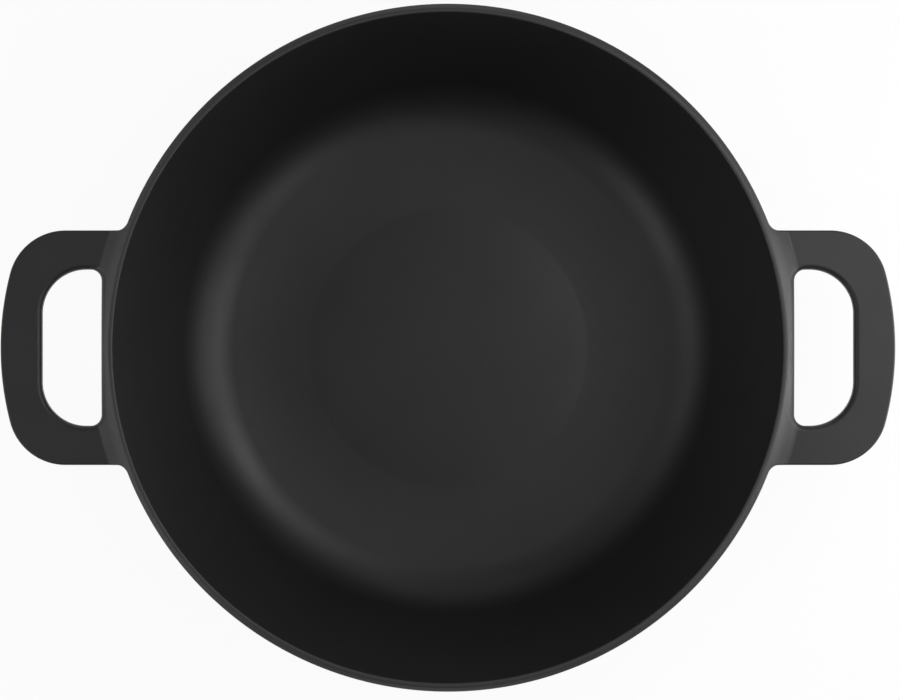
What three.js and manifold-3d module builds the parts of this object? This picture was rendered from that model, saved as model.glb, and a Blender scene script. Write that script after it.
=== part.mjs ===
// Grill wok in cast iron: a round, flared bowl on a foot ring, with a closed loop handle on each side.
// Millimetres, +Z up. The origin is the centre of the foot ring's underside, and the handles lie along X.

import * as THREE from "three";
import { mergeVertices, toCreasedNormals } from "three/addons/utils/BufferGeometryUtils.js";
import Module from "manifold-3d";

// Bowl sizes
const RIM_DIAMETER = 360; // outside of the rim
const HEIGHT = 100; // foot to rim
const WALL_THICKNESS = 4.5; // square to the wall
const WALL_FLARE = 26; // degrees that the wall leans out
const RIM_ROUNDING = 1.2; // both edges of the rim
const FLOOR_THICKNESS = 5;
const FLAT_DIAMETER = 150; // level middle of the cooking floor
const FLOOR_RISE = 4; // degrees that the floor climbs from the flat to the cove
const COVE_RADIUS = 36; // inside, from the floor into the wall
const FOOT_DIAMETER = 160; // outside of the foot ring
const FOOT_WIDTH = 8;
const FOOT_HEIGHT = 3;
const FOOT_ROUNDING = 1; // both edges that stand on the surface

// Handle sizes
const HANDLE_REACH = 54.5; // rim to the outside of the grip
const HANDLE_SPAN = 123; // across both arms
const HANDLE_THICKNESS = 12;
const HANDLE_DROP = 7; // top of the rim down to the flat of the handle
const HANDLE_ROUNDING = 2.5; // edges of the loop, outside and in the opening
const HANDLE_CORNER = 32; // outer corners of the loop
const GRIP_WIDTH = 20.5; // opening to the outside of the grip
const ARM_WIDTH = 20.5; // opening to the outside of an arm
const ROOT_LEDGE = 1.5; // rim to the near side of the opening
const OPENING_FAR_CORNER = 23; // beside the grip
const OPENING_NEAR_CORNER = 6; // beside the bowl
const ROOT_SLOPE = 40; // degrees that the root falls away from the rim
const ROOT_FILLET = 6; // slope into the flat of the handle
const UNDER_FILLET = 8; // underside of the handle into the wall
const SHOULDER_FILLET = 8; // sides of the arms into the wall

// Fit and facets
const CASTING_GAP = 0.3; // handle root to the wall that it lies against
const CHORD_ERROR = 0.05; // how far a facet may lie inside its arc
const BOWL_SIDES = 72;
const CREASE = 30; // degrees above which an edge looks sharp

const radians = THREE.MathUtils.degToRad;
const flare = radians(WALL_FLARE);
const rise = radians(FLOOR_RISE);
const slope = radians(ROOT_SLOPE);
const rimRadius = RIM_DIAMETER / 2;
const footRadius = FOOT_DIAMETER / 2;
const floorTop = FOOT_HEIGHT + FLOOR_THICKNESS;
const handleTop = HEIGHT - HANDLE_DROP;
const handleBottom = handleTop - HANDLE_THICKNESS;
const armSide = HANDLE_SPAN / 2;
const gripRadius = rimRadius + HANDLE_REACH;

const wasm = await Module();
wasm.setup();

// Arcs and outlines, in the plane of their profile

function facetsFor(radius, sweep) {
  const step = 2 * Math.acos(1 - CHORD_ERROR / radius);
  return Math.ceil(Math.abs(sweep) / step);
}

// Points on an arc that turns the short way from one angle to another.
function arc(x, y, radius, from, to) {
  const sweep = Math.atan2(Math.sin(to - from), Math.cos(to - from));
  const curve = new THREE.EllipseCurve(x, y, radius, radius, from, to, sweep < 0);
  return curve.getPoints(facetsFor(radius, sweep));
}

// Points round an outline given by its corners, each [x, y] or, where an arc rounds it, [x, y, radius].
function rounded(corners) {
  return corners.flatMap(([x, y, radius], i) => {
    const corner = new THREE.Vector2(x, y);
    if (!radius) return [corner];
    const back = new THREE.Vector2(...corners.at(i - 1)).sub(corner).normalize();
    const ahead = new THREE.Vector2(...corners[(i + 1) % corners.length]).sub(corner).normalize();
    const half = back.angleTo(ahead) / 2;
    const centre = back.clone().add(ahead).setLength(radius / Math.sin(half)).add(corner);
    const tangent = radius / Math.tan(half);
    const from = back.setLength(tangent).add(corner).sub(centre).angle();
    const to = ahead.setLength(tangent).add(corner).sub(centre).angle();
    return arc(centre.x, centre.y, radius, from, to);
  });
}

// Solids

function revolve(profile) {
  return new THREE.LatheGeometry(profile, BOWL_SIDES).rotateX(Math.PI / 2);
}

function prism(outline, bottom, top) {
  const settings = { depth: top - bottom, bevelEnabled: false };
  return new THREE.ExtrudeGeometry(new THREE.Shape(outline), settings).translate(0, 0, bottom);
}

function solid(geometry) {
  geometry.deleteAttribute("normal");
  geometry.deleteAttribute("uv");
  const { index, attributes } = mergeVertices(geometry);
  const vertProperties = new Float32Array(attributes.position.array);
  const triVerts = new Uint32Array(index.array);
  return new wasm.Manifold(new wasm.Mesh({ numProp: 3, vertProperties, triVerts }));
}

function shaded(manifold) {
  const { vertProperties, triVerts } = manifold.getMesh();
  const geometry = new THREE.BufferGeometry();
  geometry.setAttribute("position", new THREE.BufferAttribute(vertProperties, 3));
  geometry.setIndex(new THREE.BufferAttribute(triVerts, 1));
  return toCreasedNormals(geometry, radians(CREASE));
}

// Bowl: one revolved profile, from the underside round the rim to the cooking floor

// Where the outside of the wall would meet the top of the rim without rounding, with a clearance all round.
function rimCorner(clearance) {
  const radius = RIM_ROUNDING + clearance;
  const x = rimRadius - RIM_ROUNDING + radius * (1 + Math.sin(flare)) / Math.cos(flare);
  return [x, HEIGHT + clearance, radius];
}

function wallOutside(z, clearance = 0) {
  const [x, top] = rimCorner(clearance);
  return x - (top - z) * Math.tan(flare);
}

// Where a wall that passes through (wallX, HEIGHT) meets a floor that passes through (flatX, flatZ).
function coveCorner(wallX, flatX, flatZ, radius) {
  const fall = HEIGHT - flatZ - (wallX - flatX) * Math.tan(rise);
  const x = wallX - fall * Math.tan(flare) / (1 - Math.tan(flare) * Math.tan(rise));
  return [x, flatZ + (x - flatX) * Math.tan(rise), radius];
}

function bowlProfile() {
  const [outerX] = rimCorner(0);
  const innerX = outerX - WALL_THICKNESS / Math.cos(flare);
  const flatRadius = FLAT_DIAMETER / 2;
  const undersideZ = floorTop - FLOOR_THICKNESS / Math.cos(rise);
  const footInside = footRadius - FOOT_WIDTH;
  return rounded([
    [0, FOOT_HEIGHT],
    [footInside, FOOT_HEIGHT],
    [footInside, 0, FOOT_ROUNDING],
    [footRadius, 0, FOOT_ROUNDING],
    [footRadius, undersideZ + (footRadius - flatRadius) * Math.tan(rise)],
    coveCorner(outerX, flatRadius, undersideZ, COVE_RADIUS + WALL_THICKNESS),
    rimCorner(0),
    [innerX, HEIGHT, RIM_ROUNDING],
    coveCorner(innerX, flatRadius, floorTop, COVE_RADIUS),
    [flatRadius, floorTop],
    [0, floorTop],
  ]);
}

// Handle: a flat loop with rounded edges, and a root that slopes up to the rim and fillets into the wall

// A closed outline from the half of it on the +Y side, which runs from the grip to the bowl's axis.
function mirrored(half) {
  const other = half.filter(({ y }) => y > 0).map(({ x, y }) => new THREE.Vector2(x, -y));
  return [...half, ...other.reverse()];
}

function loopOutline() {
  const cornerY = armSide - HANDLE_CORNER;
  const cornerX = Math.sqrt((gripRadius - HANDLE_CORNER) ** 2 - cornerY ** 2);
  const cornerAngle = Math.atan2(cornerY, cornerX);
  return mirrored([
    ...arc(0, 0, gripRadius, 0, cornerAngle),
    ...arc(cornerX, cornerY, HANDLE_CORNER, cornerAngle, Math.PI / 2).slice(1),
    new THREE.Vector2(0, armSide),
  ]);
}

function openingOutline() {
  const near = rimRadius + ROOT_LEDGE;
  const far = gripRadius - GRIP_WIDTH;
  const side = armSide - ARM_WIDTH;
  return rounded([
    [near, -side, OPENING_NEAR_CORNER],
    [far, -side, OPENING_FAR_CORNER],
    [far, side, OPENING_FAR_CORNER],
    [near, side, OPENING_NEAR_CORNER],
  ]);
}

function loop() {
  const shape = new THREE.Shape(loopOutline());
  shape.holes.push(new THREE.Path(openingOutline()));
  const geometry = new THREE.ExtrudeGeometry(shape, {
    depth: HANDLE_THICKNESS - 2 * HANDLE_ROUNDING,
    bevelThickness: HANDLE_ROUNDING,
    bevelSize: HANDLE_ROUNDING,
    bevelOffset: -HANDLE_ROUNDING,
    bevelSegments: facetsFor(HANDLE_ROUNDING, Math.PI / 2),
  });
  return solid(geometry.translate(0, 0, handleBottom + HANDLE_ROUNDING));
}

// The plan of both arms, with shoulders that curve into the wall. It leans with the wall, so that the
// shoulders meet it smoothly at every height.
function rootPlan(bottom, top) {
  const wallRadius = wallOutside(handleBottom);
  const shoulderY = armSide + SHOULDER_FILLET;
  const shoulderX = Math.sqrt((wallRadius + SHOULDER_FILLET) ** 2 - shoulderY ** 2);
  const shoulderAngle = Math.atan2(shoulderY, shoulderX);
  const outline = mirrored([
    new THREE.Vector2(gripRadius, armSide),
    ...arc(shoulderX, shoulderY, SHOULDER_FILLET, -Math.PI / 2, shoulderAngle - Math.PI),
    new THREE.Vector2(0, wallRadius * Math.sin(shoulderAngle)),
  ]);
  const lean = new THREE.Matrix4().makeShear(0, 0, 0, 0, Math.tan(flare) / Math.cos(shoulderAngle), 0);
  const plan = prism(outline, bottom - handleBottom, top - handleBottom);
  return solid(plan.applyMatrix4(lean).translate(0, 0, handleBottom));
}

// The root is a ring round the bowl, cut to the plan of the arms and to the opening.
function root() {
  const rimArcX = rimRadius - RIM_ROUNDING;
  const rimArcZ = HEIGHT - RIM_ROUNDING;
  const slopeTopX = rimArcX + RIM_ROUNDING * Math.sin(slope);
  const slopeTopZ = rimArcZ + RIM_ROUNDING * Math.cos(slope);
  const toeX = slopeTopX + (slopeTopZ - handleTop) / Math.tan(slope);
  const toeEnd = toeX + ROOT_FILLET * Math.tan(slope / 2);
  const underCornerX = wallOutside(handleBottom);
  const underTangent = UNDER_FILLET * Math.tan((Math.PI / 2 - flare) / 2);
  const underFoot = handleBottom - underTangent * Math.cos(flare);
  const within = handleBottom + HANDLE_THICKNESS / 3;
  const inside = wallOutside(underFoot) - WALL_THICKNESS;
  const profile = rounded([
    [inside, underFoot],
    [wallOutside(underFoot), underFoot],
    [underCornerX, handleBottom, UNDER_FILLET],
    [underCornerX + underTangent, handleBottom],
    [underCornerX + underTangent, within],
    [toeEnd, within],
    [toeEnd, handleTop],
    [toeX, handleTop, ROOT_FILLET],
    [slopeTopX, slopeTopZ],
    [inside, slopeTopZ],
  ]);
  const ring = solid(revolve([...profile, profile[0]]));
  const opening = solid(prism(openingOutline(), underFoot, HEIGHT));
  return ring.intersect(rootPlan(underFoot, HEIGHT)).subtract(opening);
}

// Everything inside the wall and rim, with the gap that the handle keeps to them.
function bowlEnvelope() {
  const corner = rimCorner(CASTING_GAP);
  const wall = wallOutside(0, CASTING_GAP);
  return solid(revolve(rounded([[0, 0], [wall, 0], corner, [0, corner[1]]])));
}

const castIron = { roughness: 0.6, metalness: 0.4 };
const bowlIron = new THREE.MeshStandardMaterial({ name: "bowl cast iron", color: 0x2b2b2b, ...castIron });
const handleIron = new THREE.MeshStandardMaterial({ name: "handle cast iron", color: 0x333333, ...castIron });

const bowl = new THREE.Mesh(revolve(bowlProfile()), bowlIron);
bowl.name = "bowl";

const handleGeometry = shaded(loop().add(root()).subtract(bowlEnvelope()));

const rightHandle = new THREE.Mesh(handleGeometry, handleIron);
rightHandle.name = "right_handle";

const leftHandle = new THREE.Mesh(handleGeometry, handleIron);
leftHandle.name = "left_handle";
leftHandle.rotation.z = Math.PI;

const wok = new THREE.Group();
wok.add(bowl, leftHandle, rightHandle);

export default wok;
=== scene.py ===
import math

import bmesh
import bpy
from mathutils import Matrix, Vector


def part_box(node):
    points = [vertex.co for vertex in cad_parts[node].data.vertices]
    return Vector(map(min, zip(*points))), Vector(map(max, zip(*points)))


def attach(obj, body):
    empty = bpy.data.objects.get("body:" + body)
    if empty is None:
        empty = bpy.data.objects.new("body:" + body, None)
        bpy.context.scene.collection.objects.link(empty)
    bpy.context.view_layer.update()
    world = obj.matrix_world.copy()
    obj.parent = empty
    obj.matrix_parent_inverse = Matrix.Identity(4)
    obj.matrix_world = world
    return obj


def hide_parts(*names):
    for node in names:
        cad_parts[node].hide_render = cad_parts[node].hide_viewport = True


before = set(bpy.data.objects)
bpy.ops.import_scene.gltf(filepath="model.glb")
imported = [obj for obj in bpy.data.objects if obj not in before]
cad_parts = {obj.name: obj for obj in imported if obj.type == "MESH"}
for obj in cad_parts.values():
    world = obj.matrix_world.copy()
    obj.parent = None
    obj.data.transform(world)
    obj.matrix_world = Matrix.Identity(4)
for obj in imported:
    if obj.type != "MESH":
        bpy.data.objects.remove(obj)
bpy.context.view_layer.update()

# Bowl: the body of the wok, sand-cast in iron with an even wall, a coved cooking floor and a plain rim.
# The casting is shot-blasted and seasoned: oil baked on in thin coats leaves it satin black.
MM = 0.001
WALL_THICKNESS = 5 * MM
WALL_FLARE = math.radians(26)
RIM_ROUNDING = 1.2 * MM
RIM_EASING = 1.3 * MM
RIM_CREST_ROUNDING = 2 * MM
RIM_SLOPE_WIDTH = 2.4 * MM
RIM_SLOPE = math.radians(35)
FLOOR_HEIGHT = 8 * MM
FLOOR_THICKNESS = 5 * MM
FLAT_RADIUS = 75 * MM
FLAT_CROWN = 2 * MM
DISH_RADIUS = 230 * MM
COVE_SLOPE = math.radians(9)
COVE_RADIUS = 36 * MM
UNDER_RISE = math.radians(4)
FOOT_RADIUS = 80 * MM
FOOT_WIDTH = 8 * MM
FOOT_HEIGHT = 3 * MM
FOOT_ROUNDING = 1 * MM
FOOT_FILLET = 1.5 * MM
ARC_STEP = 1.2 * MM
LEAST_ARC_STEPS = 10
BOWL_SIDES = 288
WELD = 0.003 * MM
CRISP = math.radians(40)

rim_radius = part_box("bowl")[1].x
rim_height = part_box("bowl")[1].z
crest_radius = rim_radius - RIM_SLOPE_WIDTH
slope_end = rim_radius - RIM_ROUNDING * (1 - math.sin(RIM_SLOPE))
slope_fall = (slope_end - crest_radius) * math.tan(RIM_SLOPE)
rounding_height = rim_height - slope_fall - RIM_ROUNDING * math.cos(RIM_SLOPE)


def wall_outside(height):
    """Radius of the wall's outside face at a height, run on past the rounding of the rim."""
    fall = rounding_height - RIM_ROUNDING * math.sin(WALL_FLARE) - height
    return rim_radius - RIM_ROUNDING * (1 - math.cos(WALL_FLARE)) - fall * math.tan(WALL_FLARE)


outer_corner = wall_outside(rim_height)
inner_corner = outer_corner - WALL_THICKNESS / math.cos(WALL_FLARE)


def wall_corner(wall_radius, radius, height, rise, rounding):
    """Where a face of the wall, given by its radius at the rim, meets one that rises from another place."""
    fall = rim_height - height - (wall_radius - radius) * math.tan(rise)
    corner = wall_radius - fall * math.tan(WALL_FLARE) / (1 - math.tan(WALL_FLARE) * math.tan(rise))
    return corner, height + (corner - radius) * math.tan(rise), rounding


def rounded_wire(bm, corners):
    """Draws a wire in the XY plane through corners (x, y, radius), each radius a spun arc."""
    points = [Vector((x, y, 0)) for x, y, radius in corners]
    ends = []
    for i, point in enumerate(points):
        radius = corners[i][2]
        back = (points[i - 1] - point).normalized()
        ahead = (points[(i + 1) % len(points)] - point).normalized()
        half = back.angle(ahead) / 2
        start = point + back * radius / math.tan(half)
        if ends:
            ends += bmesh.ops.extrude_vert_indiv(bm, verts=ends[-1:])["verts"]
            ends[-1].co = start
        else:
            ends.append(bm.verts.new(start))
        if radius:
            centre = point + (back + ahead).normalized() * radius / math.sin(half)
            turn = math.copysign(math.pi - 2 * half, ahead.cross(back).z)
            steps = max(LEAST_ARC_STEPS, math.ceil(abs(turn) * radius / ARC_STEP))
            arc = bmesh.ops.spin(bm, geom=ends[-1:], cent=centre, axis=(0, 0, 1), angle=turn, steps=steps)
            ends += [v for v in arc["geom_last"] if isinstance(v, bmesh.types.BMVert)]
    return ends[0], ends[-1]


def finished_piece(name, bm, material):
    """Makes a mesh object of a bmesh, smooth-shaded, with its flat faces kept flat by weighted normals."""
    bmesh.ops.recalc_face_normals(bm, faces=bm.faces)
    for face in bm.faces:
        face.smooth = True
    for edge in bm.edges:
        edge.smooth = edge.calc_face_angle(0) < CRISP
    mesh = bpy.data.meshes.new(name)
    bm.to_mesh(mesh)
    bm.free()
    mesh.materials.append(material)
    piece = bpy.data.objects.new(name, mesh)
    bpy.context.scene.collection.objects.link(piece)
    piece.modifiers.new("flat faces", "WEIGHTED_NORMAL").keep_sharp = True
    return piece


def linear(hex_colour):
    """An sRGB hex colour as linear RGBA."""
    channels = [int(hex_colour[i:i + 2], 16) / 255 for i in (1, 3, 5)]
    return [c / 12.92 if c <= 0.04045 else ((c + 0.055) / 1.055) ** 2.4 for c in channels] + [1]


def add_node(tree, kind, inputs, **settings):
    """Adds a shader node with its settings, and sets or links its inputs."""
    node = tree.nodes.new("ShaderNode" + kind)
    for name, value in settings.items():
        setattr(node, name, value)
    for socket, value in inputs.items():
        if isinstance(value, bpy.types.NodeSocket):
            tree.links.new(value, node.inputs[socket])
        else:
            node.inputs[socket].default_value = value
    return node


# Moulding sand is 0.2 to 0.3 mm across, finer than a pixel, so its grain is drawn at 0.6 mm to show
SAND_GRAIN = 0.6 * MM
SAND_DEPTH = 0.02 * MM
SWELL_LENGTH = 4 * MM
SWELL_DEPTH = 0.05 * MM
COAT_PATCH = 38 * MM
# Levels of the patches' noise at which the coat is thinnest and thickest
COAT_THIN = 0.3
COAT_THICK = 0.7
# Wear of the coat: depths below the rim's top, then reaches to both sides of its inner edge
WEAR_START = 4.5 * MM
WEAR_FULL = 1.3 * MM
WEAR_INSIDE = 0.4 * MM
WEAR_OUTSIDE = 0.6 * MM
BAKED_OIL_IOR = 1.5


def seasoned_iron(name, thin_coat, thick_coat, worn_coat, satin, matte):
    """Cast iron under baked oil: a dark satin skin with a faint sand grain, greyer where the rim is worn."""
    material = bpy.data.materials.new(name)
    material.use_nodes = True
    tree = material.node_tree
    tree.nodes.clear()
    place = add_node(tree, "TexCoord", {}).outputs["Object"]
    grain = add_node(tree, "TexNoise", {"Vector": place, "Scale": 1 / SAND_GRAIN, "Detail": 2})
    swell = add_node(tree, "TexNoise", {"Vector": place, "Scale": 1 / SWELL_LENGTH, "Detail": 2})
    cloud = add_node(tree, "TexNoise", {"Vector": place, "Scale": 1 / COAT_PATCH, "Detail": 5})
    coat = add_node(tree, "ValToRGB", {"Fac": cloud.outputs["Fac"]})
    coat.color_ramp.elements[0].position = COAT_THIN
    coat.color_ramp.elements[0].color = linear(thin_coat)
    coat.color_ramp.elements[1].position = COAT_THICK
    coat.color_ramp.elements[1].color = linear(thick_coat)
    # The rim is rubbed by lids and ladles: near its top, and from its inner edge outwards
    height = add_node(tree, "SeparateXYZ", {"Vector": place}).outputs["Z"]
    near_top = add_node(tree, "MapRange", {
        "Value": height, "From Min": rim_height - WEAR_START, "From Max": rim_height - WEAR_FULL,
    }, interpolation_type="SMOOTHSTEP")
    level = add_node(tree, "VectorMath", {0: place, 1: (1, 1, 0)}, operation="MULTIPLY")
    radius = add_node(tree, "VectorMath", {0: level.outputs["Vector"]}, operation="LENGTH")
    on_rim = add_node(tree, "MapRange", {
        "Value": radius.outputs["Value"],
        "From Min": inner_corner - WEAR_INSIDE, "From Max": inner_corner + WEAR_OUTSIDE,
    }, interpolation_type="SMOOTHSTEP")
    worn = add_node(tree, "Math", {
        0: near_top.outputs["Result"], 1: on_rim.outputs["Result"],
    }, operation="MULTIPLY")
    # The colour sockets of a Mix node share their names with its other kinds, so they go by number
    skin = add_node(tree, "Mix", {
        0: worn.outputs["Value"], 6: coat.outputs["Color"], 7: linear(worn_coat),
    }, data_type="RGBA")
    sheen = add_node(tree, "MapRange", {
        "Value": cloud.outputs["Fac"], "From Min": COAT_THIN, "From Max": COAT_THICK,
        "To Min": satin, "To Max": matte,
    })
    swells = add_node(tree, "Bump", {"Height": swell.outputs["Fac"], "Distance": SWELL_DEPTH})
    sand = add_node(tree, "Bump", {
        "Height": grain.outputs["Fac"], "Distance": SAND_DEPTH, "Normal": swells.outputs["Normal"],
    })
    surface = add_node(tree, "BsdfPrincipled", {
        "Base Color": skin.outputs[2],
        "Roughness": sheen.outputs["Result"],
        "Normal": sand.outputs["Normal"],
        "IOR": BAKED_OIL_IOR,
    })
    add_node(tree, "OutputMaterial", {"Surface": surface.outputs["BSDF"]})
    return material


underside = FLOOR_HEIGHT - FLOOR_THICKNESS / math.cos(UNDER_RISE)
dish = FLAT_RADIUS + DISH_RADIUS * math.tan(COVE_SLOPE / 2)
crown_angle = 2 * math.atan(FLAT_CROWN / FLAT_RADIUS)
crown_radius = FLAT_RADIUS / math.sin(crown_angle)
crown_height = FLOOR_HEIGHT + FLAT_CROWN
bm = bmesh.new()
rounded_wire(bm, [
    (0, FOOT_HEIGHT, 0),
    (FOOT_RADIUS - FOOT_WIDTH, FOOT_HEIGHT, FOOT_FILLET),
    (FOOT_RADIUS - FOOT_WIDTH, 0, FOOT_ROUNDING),
    (FOOT_RADIUS, 0, FOOT_ROUNDING),
    (FOOT_RADIUS, underside + (FOOT_RADIUS - FLAT_RADIUS) * math.tan(UNDER_RISE), FOOT_FILLET),
    wall_corner(outer_corner, FLAT_RADIUS, underside, UNDER_RISE, COVE_RADIUS + WALL_THICKNESS),
    wall_corner(outer_corner, crest_radius, rim_height, -RIM_SLOPE, RIM_ROUNDING),
    (crest_radius, rim_height, RIM_CREST_ROUNDING),
    (inner_corner, rim_height, RIM_EASING),
    wall_corner(inner_corner, dish, FLOOR_HEIGHT, COVE_SLOPE, COVE_RADIUS),
    (dish, FLOOR_HEIGHT, DISH_RADIUS),
    (FLAT_RADIUS, FLOOR_HEIGHT, 0),
    (crown_radius * math.tan(crown_angle / 2), crown_height, crown_radius),
    (0, crown_height, 0),
])
bmesh.ops.rotate(bm, verts=bm.verts, matrix=Matrix.Rotation(math.pi / 2, 3, "X"))
bmesh.ops.spin(bm, geom=bm.verts[:] + bm.edges[:], axis=(0, 0, 1), angle=2 * math.pi, steps=BOWL_SIDES,
               use_merge=True)
bmesh.ops.remove_doubles(bm, verts=bm.verts, dist=WELD)
# To the eye: near black, with wide soft highlights along the cove and a greyer line round the rim
bowl_iron = seasoned_iron("seasoned_iron_bowl", thin_coat="#141414", thick_coat="#101010",
                          worn_coat="#2d2d2d", satin=0.46, matte=0.54)
bowl = finished_piece("bowl_casting", bm, bowl_iron)
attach(bowl, "root")
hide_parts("bowl")

# Handles: two closed loops, cast in one pour with the bowl and standing out from the wall below the rim.
# Each is a flat bar with eased edges, whose root carries the rim's slope on and is filleted into the wall.
HANDLE_DROP = 7 * MM
HANDLE_THICKNESS = 12 * MM
HANDLE_EASING = 1 * MM
OPENING_EASING = 3 * MM
EASING_STEPS = 6
HANDLE_SPAN = 123 * MM
HANDLE_CORNER = 30 * MM
GRIP_CURVE = 155 * MM
GRIP_WIDTH = 21.6 * MM
BAR_WIDTH = 20.5 * MM
ROOT_LEDGE = 1.5 * MM
OPENING_FAR_CORNER = 23 * MM
OPENING_NEAR_CORNER = 6 * MM
ROOT_FILLET = 3.5 * MM
UNDER_FILLET = 8 * MM
SHOULDER_FILLET = 8 * MM
ROOT_DEPTH = 2 * MM
ROOT_LAP = 0.2 * MM
ROOT_SINK = 0.03 * MM
ROOT_DIVE = 3
PLAN_OVERRUN = 10 * MM
FILLET_STEPS = 10
LEAN_ROUNDS = 12
STRIP_WIDTH = 3 * MM
CUT_SNAP = 0.0003 * MM
SQUARE_EDGE = math.radians(80)

handle_top = rim_height - HANDLE_DROP
handle_bottom = handle_top - HANDLE_THICKNESS
grip_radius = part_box("right_handle")[1].x
arm_side = HANDLE_SPAN / 2
opening_near = rim_radius + ROOT_LEDGE
opening_far = grip_radius - GRIP_WIDTH
opening_side = arm_side - BAR_WIDTH
toe = crest_radius + HANDLE_DROP / math.tan(RIM_SLOPE)
toe_end = toe + ROOT_FILLET * math.tan(RIM_SLOPE / 2)
toe_start = toe_end - ROOT_FILLET * math.sin(RIM_SLOPE)
under_end = wall_outside(handle_bottom) + UNDER_FILLET * math.tan((math.pi / 2 - WALL_FLARE) / 2)
under_start = under_end - UNDER_FILLET * math.cos(WALL_FLARE)


def root_rise(radius):
    """How far the root's top stands above the flat of the handle, at a radius from the bowl's axis."""
    if radius >= toe_end:
        return 0
    if radius >= toe_start:
        return ROOT_FILLET - math.sqrt(ROOT_FILLET ** 2 - (toe_end - radius) ** 2)
    # A hair below the rim's own slope, and past the rim's edge steeply down into the wall
    sink = ROOT_SINK * min((toe_start - radius) / ROOT_DEPTH, 1)
    dive = min(max(ROOT_DIVE * (slope_end - ROOT_LAP - radius), 0), ROOT_DEPTH)
    return (toe - radius) * math.tan(RIM_SLOPE) - sink - dive


def root_sag(radius):
    """How far the fillet under the root hangs below the flat of the handle."""
    reach = min(max(under_end - radius, 0), under_end - under_start)
    return UNDER_FILLET - math.sqrt(UNDER_FILLET ** 2 - reach ** 2)


def risen(height, radius):
    """Height of a point of the plain bar once the root is drawn up to the rim and down along the wall."""
    share = (height - handle_bottom - OPENING_EASING) / (HANDLE_THICKNESS - 2 * OPENING_EASING)
    share = min(max(share, 0), 1)
    return height + share * root_rise(radius) - (1 - share) * root_sag(radius)


def cut(bm, place, normal, clear=False):
    """Cuts the whole mesh by a plane, and with clear removes what lies behind it."""
    geometry = bm.verts[:] + bm.edges[:] + bm.faces[:]
    return bmesh.ops.bisect_plane(bm, geom=geometry, dist=CUT_SNAP, plane_co=place, plane_no=normal,
                                  clear_inner=clear)


def slice_across(bm):
    """Cuts the whole handle into narrow strips along X, which bend with the bowl."""
    for i in range(round(2 * arm_side / STRIP_WIDTH) + 1):
        cut(bm, (0, i * STRIP_WIDTH - arm_side, 0), (0, 1, 0))


def draw_half_plan(bm):
    """Draws half of the loop seen from above, from the middle of the grip to the wall and back."""
    corner_angle = math.asin((arm_side - HANDLE_CORNER) / (GRIP_CURVE - HANDLE_CORNER))
    grip_corner = GRIP_CURVE / math.cos(corner_angle) - arm_side * math.tan(corner_angle)
    wall = wall_outside(handle_bottom)
    shoulder = math.asin((arm_side + SHOULDER_FILLET) / (wall + SHOULDER_FILLET))
    wing = arm_side + 2 * SHOULDER_FILLET
    inside = math.sqrt((wall - PLAN_OVERRUN) ** 2 - wing ** 2)
    first, last = rounded_wire(bm, [
        (grip_radius, 0, 0),
        (grip_radius, GRIP_CURVE * math.tan(corner_angle / 2), GRIP_CURVE),
        (grip_radius - GRIP_CURVE + grip_corner, arm_side, HANDLE_CORNER),
        ((wall - arm_side * math.sin(shoulder)) / math.cos(shoulder), arm_side, SHOULDER_FILLET),
        (math.sqrt((wall - ROOT_LAP) ** 2 - wing ** 2), wing, 0),
        (inside, wing, 0),
        (inside, 0, 0),
        (opening_near, 0, 0),
        (opening_near, opening_side, OPENING_NEAR_CORNER),
        (opening_far, opening_side, OPENING_FAR_CORNER),
        (opening_far, 0, 0),
    ])
    bm.edges.new((last, first))
    bmesh.ops.remove_doubles(bm, verts=bm.verts, dist=WELD)


def beside_opening(point):
    """Whether a point of the plan lies on the outline of the finger opening."""
    across = opening_near - WELD < point.x < opening_far + WELD
    return across and abs(point.y) < opening_side + WELD


def eased_bar():
    """The loop as a plain flat bar: its half plan filled, raised and mirrored, with its edges rounded."""
    bm = bmesh.new()
    draw_half_plan(bm)
    plan = bmesh.ops.edgenet_fill(bm, edges=bm.edges)["faces"]
    raised = bmesh.ops.extrude_face_region(bm, geom=plan)["geom"]
    top = [v for v in raised if isinstance(v, bmesh.types.BMVert)]
    bmesh.ops.translate(bm, verts=bm.verts, vec=(0, 0, handle_bottom))
    bmesh.ops.translate(bm, verts=top, vec=(0, 0, HANDLE_THICKNESS))
    middle = [f for f in bm.faces if all(abs(v.co.y) < WELD for v in f.verts)]
    bmesh.ops.delete(bm, geom=middle, context="FACES")
    bmesh.ops.mirror(bm, geom=bm.verts[:] + bm.edges[:] + bm.faces[:], axis="Y", merge_dist=WELD)
    bmesh.ops.recalc_face_normals(bm, faces=bm.faces)
    square = [e for e in bm.edges if e.is_manifold and e.calc_face_angle() > SQUARE_EDGE
              and abs(e.verts[0].co.z - e.verts[1].co.z) < WELD]
    inner = [e for e in square if all(beside_opening(v.co) for v in e.verts)]
    outer = [e for e in square if e not in inner]
    for edges, easing in ((inner, OPENING_EASING), (outer, HANDLE_EASING)):
        bmesh.ops.bevel(bm, geom=edges, offset=easing, segments=EASING_STEPS, profile=0.5,
                        affect="EDGES", material=-1)
    return bm


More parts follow.
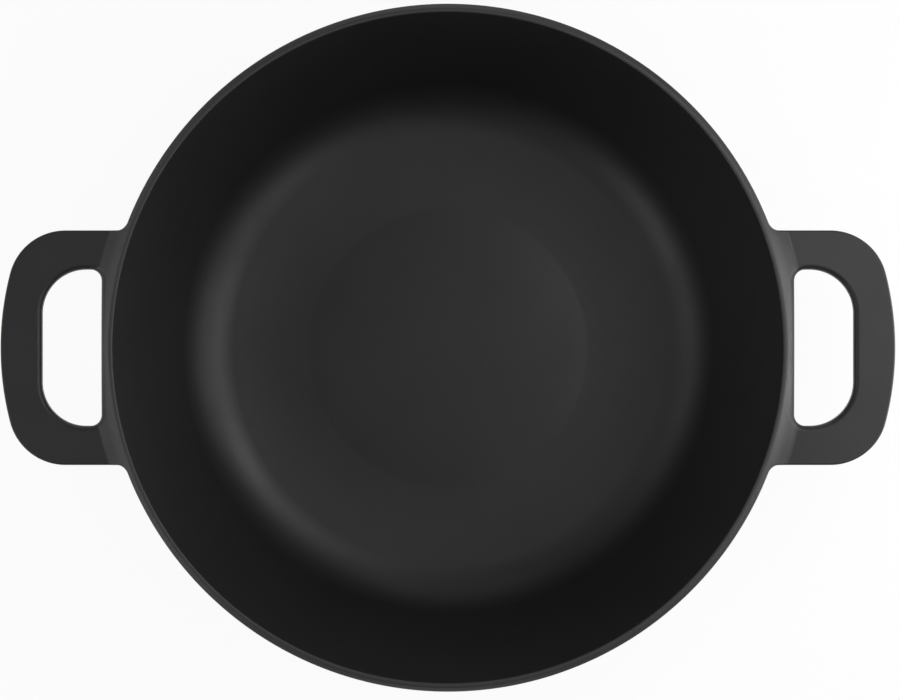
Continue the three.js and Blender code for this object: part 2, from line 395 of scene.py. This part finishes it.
def draw_root(bm):
    """Draws the bar's root up to the rim and down along the wall, and cuts it off inside the wall."""
    # A radius from the bowl's axis takes the place of x, so that circles are cut as straight lines
    for v in bm.verts:
        v.co.x = v.co.to_2d().length
        if v.co.x < toe_end and abs(v.co.y) > arm_side - BAR_WIDTH / 2:
            # A shoulder leans with the wall: each round comes closer to the height that it is drawn to
            off_wall = v.co.x - wall_outside(handle_bottom)
            for i in range(LEAN_ROUNDS):
                v.co.x = off_wall + wall_outside(risen(v.co.z, v.co.x))
    for i in range(FILLET_STEPS + 1):
        share = i / FILLET_STEPS
        cut(bm, (toe_start + (toe_end - toe_start) * share, 0, 0), (1, 0, 0))
        cut(bm, (under_start + (under_end - under_start) * share, 0, 0), (1, 0, 0))
    cut(bm, (slope_end - ROOT_LAP, 0, 0), (1, 0, 0))
    for v in bm.verts:
        v.co.z = risen(v.co.z, v.co.x)
    back = (wall_outside(handle_top) - ROOT_DEPTH, 0, handle_top)
    sunk = cut(bm, back, (math.cos(WALL_FLARE), 0, -math.sin(WALL_FLARE)), clear=True)["geom_cut"]
    bmesh.ops.edgenet_fill(bm, edges=[e for e in sunk if isinstance(e, bmesh.types.BMEdge)])
    slice_across(bm)
    for v in bm.verts:
        v.co.x = math.sqrt(v.co.x ** 2 - v.co.y ** 2)


def handle_casting(name, material, turn):
    """A loop handle, shaped at the right of the bowl and turned to its own side."""
    bm = eased_bar()
    slice_across(bm)
    draw_root(bm)
    bmesh.ops.dissolve_degenerate(bm, dist=WELD, edges=bm.edges)
    bmesh.ops.rotate(bm, verts=bm.verts, matrix=Matrix.Rotation(turn, 3, "Z"))
    return finished_piece(name, bm, material)


# To the eye: a shade greyer and more even than the bowl. This is painted light: the same iron as the bowl,
# drawn lighter so that the handles read brighter, as they catch more of the lamps' light
handle_iron_painted_lighter = seasoned_iron("seasoned_iron_handle_painted_lighter", thin_coat="#181818", thick_coat="#141414",
                            worn_coat="#2d2d2d", satin=0.47, matte=0.53)
for side, turn in (("right", 0), ("left", math.pi)):
    handle = handle_casting(side + "_handle_casting", handle_iron_painted_lighter, turn)
    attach(handle, "root")
    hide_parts(side + "_handle")

# Floor: a wide, plain surface in matt white paint, with a low wall of the same paint round its edge.
# It lies a hair below the wok's foot, so that the two don't share a plane.
FLOOR_SPAN = 20
BACKDROP_HEIGHT = 1
FLOOR_GAP = 0.1 * MM
GLOW_SHARE = 0.93

bm = bmesh.new()
bmesh.ops.create_grid(bm, x_segments=1, y_segments=1, size=FLOOR_SPAN / 2)
bmesh.ops.translate(bm, verts=bm.verts, vec=(0, 0, -FLOOR_GAP))
raised = bmesh.ops.extrude_edge_only(bm, edges=bm.edges)["geom"]
wall_top = [v for v in raised if isinstance(v, bmesh.types.BMVert)]
bmesh.ops.translate(bm, verts=wall_top, vec=(0, 0, BACKDROP_HEIGHT))
# To the eye: white in the picture and in reflections, with a faint shadow under the wok
floor_paint = bpy.data.materials.new("white_floor")
floor_paint.use_nodes = True
tree = floor_paint.node_tree
tree.nodes.clear()
path = add_node(tree, "LightPath", {})
seen = add_node(tree, "Math", {
    0: path.outputs["Is Camera Ray"], 1: path.outputs["Is Glossy Ray"],
}, operation="MAXIMUM")
seen = add_node(tree, "Math", {
    0: seen.outputs["Value"], 1: path.outputs["Is Transmission Ray"],
}, operation="MAXIMUM")
share = add_node(tree, "Math", {0: seen.outputs["Value"], 1: GLOW_SHARE}, operation="MULTIPLY")
paint = add_node(tree, "BsdfDiffuse", {"Color": linear("#f2f2f2")})
glow = add_node(tree, "Emission", {"Color": linear("#ffffff"), "Strength": 1})
mixed = add_node(tree, "MixShader", {
    0: share.outputs["Value"], 1: paint.outputs["BSDF"], 2: glow.outputs["Emission"],
})
add_node(tree, "OutputMaterial", {"Surface": mixed.outputs["Shader"]})
floor = finished_piece("floor", bm, floor_paint)

# Light: soft boxes on stands round the wok, most of it from the right, in a dim room.
# The two strips stand below the rim, so that they reach the outside of the wok and not the inside.
ROOM_LIGHT = 0.015
BOX_SHARE = 0.5

world = bpy.data.worlds.new("dim_room")
bpy.context.scene.world = world
world.use_nodes = True
tree = world.node_tree
tree.nodes.clear()
room = add_node(tree, "Background", {"Color": linear("#ffffff"), "Strength": ROOM_LIGHT})
add_node(tree, "OutputWorld", {"Surface": room.outputs["Background"]})

target = Vector((0, 0, rim_height / 2))
# Bearing and elevation in degrees, distance and height in metres, power in watts
for name, bearing, elevation, distance, height, power in [
    ("right_low", 0, 12, 0.6, 0.3, 1.6),
    ("right_strip", 0, 1.5, 0.6, 0.06, 0.4),
    ("right_back_high", 30, 50, 1.0, 0.5, 2.2),
    ("right_front_high", -30, 50, 1.0, 0.5, 2.1),
    ("right_near", 20, 55, 0.6, 0.3, 0.6),
    ("back_low", 90, 20, 1.0, 0.5, 1.3),
    ("left_low", 180, 20, 0.8, 0.4, 1.1),
    ("left_back", 150, 32, 1.0, 0.5, 0.6),
    ("left_front", 210, 32, 1.0, 0.5, 1.8),
    ("left_overhead", 180, 75, 1.0, 0.5, 0.8),
    ("front_strip", 270, 1.5, 0.6, 0.06, 0.35),
]:
    lamp = bpy.data.lights.new(name, "AREA")
    lamp.shape = "RECTANGLE"
    lamp.size = BOX_SHARE * distance
    lamp.size_y = height
    lamp.energy = power
    box = bpy.data.objects.new(name, lamp)
    aim = Matrix.Rotation(math.radians(bearing), 3, "Z") @ Matrix.Rotation(math.radians(-elevation), 3, "Y")
    box.location = target + aim @ Vector((distance, 0, 0))
    box.rotation_euler = (target - box.location).to_track_quat("-Z", "Y").to_euler()
    bpy.context.scene.collection.objects.link(box)

# Camera: straight above the wok and far off, with a long lens.
# It stands a millimetre or two off the wok's axis, as the photograph is framed.
CAMERA_DISTANCE = 3.0
CAMERA_X = 1.1 * MM
CAMERA_Y = -1.2 * MM
VIEW_WIDTH = 470.5 * MM
SENSOR_MM = 36

lens = bpy.data.cameras.new("camera")
lens.sensor_width = SENSOR_MM
lens.lens = SENSOR_MM * CAMERA_DISTANCE / VIEW_WIDTH
camera = bpy.data.objects.new("camera", lens)
camera.location = (CAMERA_X, CAMERA_Y, rim_height + CAMERA_DISTANCE)
bpy.context.scene.collection.objects.link(camera)
bpy.context.scene.camera = camera
bpy.context.scene.view_settings.view_transform = "Standard"
